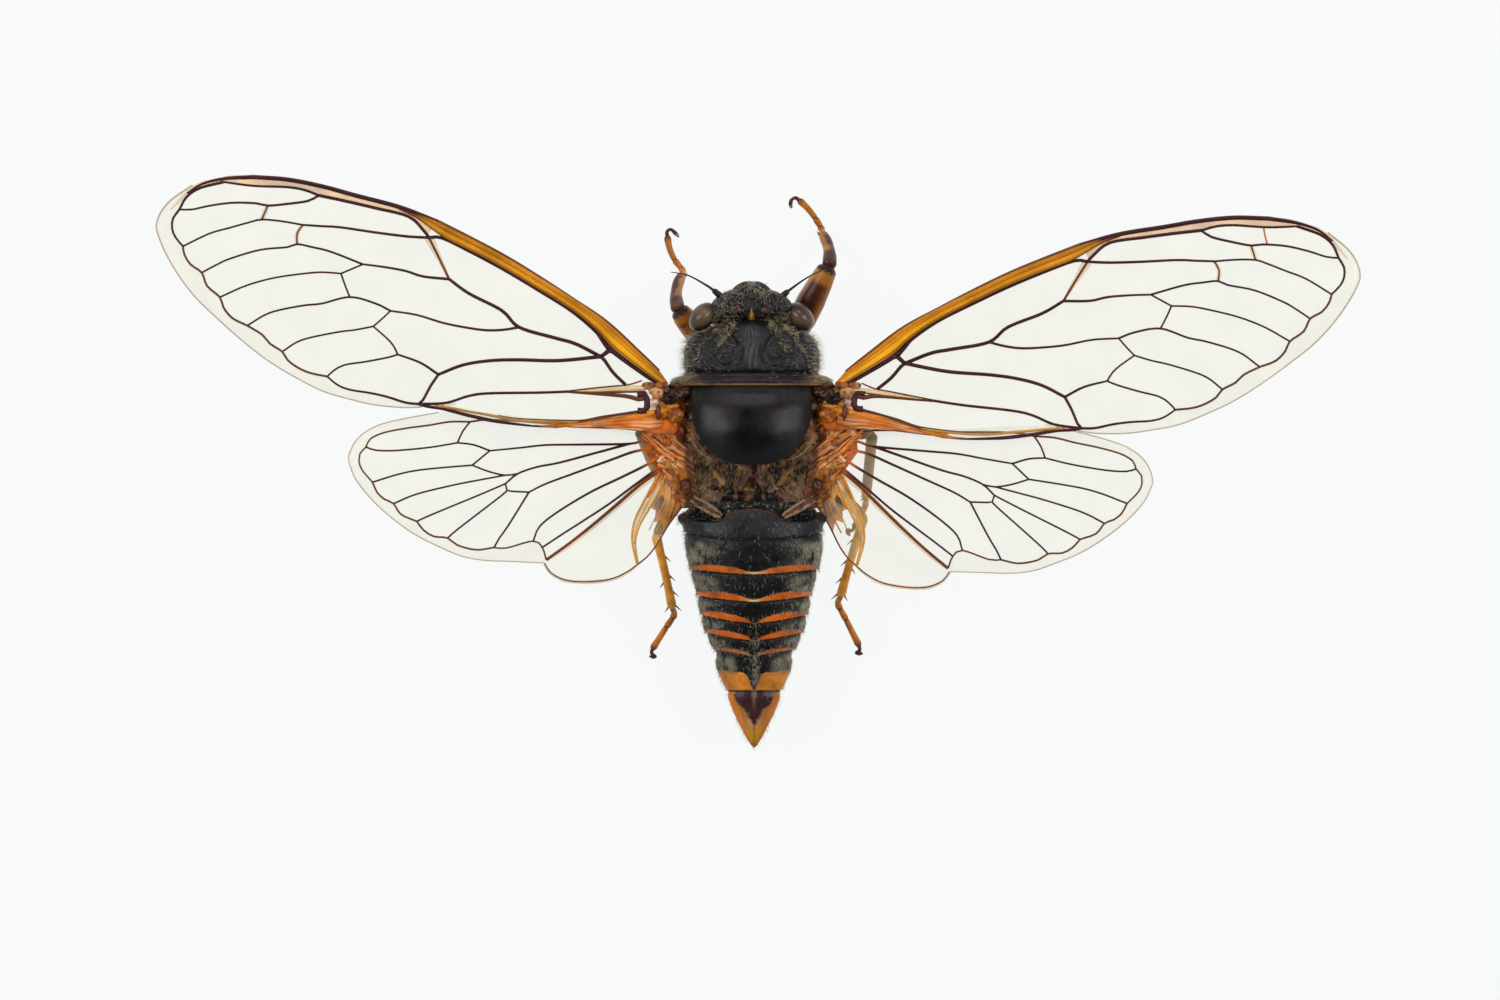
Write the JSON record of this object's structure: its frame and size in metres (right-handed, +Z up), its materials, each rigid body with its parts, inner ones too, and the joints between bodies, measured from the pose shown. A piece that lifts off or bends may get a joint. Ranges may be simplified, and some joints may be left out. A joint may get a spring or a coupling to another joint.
{
  "type": "new forest cicada model",
  "caption": "Life-size still model of a new forest cicada, a black female with orange abdomen bands, spread clear wings with amber front veins, and ochre hind legs.",
  "frame": {"origin": "on the floor that the feet stand on, under the middle of the model as seen from above", "axes": "+X towards the insect's left wing tip, -Y ahead past its head, +Z up"},
  "size_m": [0.0518, 0.0249, 0.0062],
  "materials": {
    "black_cuticle": "satin black cuticle",
    "brown_cuticle": "dark brown cuticle of the underside",
    "amber_leg": "ochre to orange leg cuticle",
    "dark_leg": "brown leg cuticle",
    "compound_eye": "grey-brown compound eye",
    "orange_tail": "ochre-orange cuticle of the last ring",
    "wing": "clear wing membrane with dark veins"
  },
  "bodies": {
    "root": {"head": "black_cuticle", "eye_left": "compound_eye", "eye_right": "compound_eye", "antenna_left": "black_cuticle", "antenna_right": "black_cuticle", "rostrum": "brown_cuticle", "prothorax": "black_cuticle", "mesonotum": "black_cuticle", "thorax": "brown_cuticle", "abdomen": "black_cuticle", "tail": "orange_tail", "fore_left_thigh": "dark_leg", "fore_left_shin": "amber_leg", "fore_left_foot": "amber_leg", "fore_right_thigh": "dark_leg", "fore_right_shin": "amber_leg", "fore_right_foot": "amber_leg", "mid_left_thigh": "dark_leg", "mid_left_shin": "amber_leg", "mid_left_foot": "amber_leg", "mid_right_thigh": "dark_leg", "mid_right_shin": "amber_leg", "mid_right_foot": "amber_leg", "hind_left_thigh": "dark_leg", "hind_left_shin": "amber_leg", "hind_left_foot": "amber_leg", "hind_right_thigh": "dark_leg", "hind_right_shin": "amber_leg", "hind_right_foot": "amber_leg", "forewing_left": "wing", "forewing_right": "wing", "hindwing_left": "wing", "hindwing_right": "wing"}
  },
  "joints": []
}
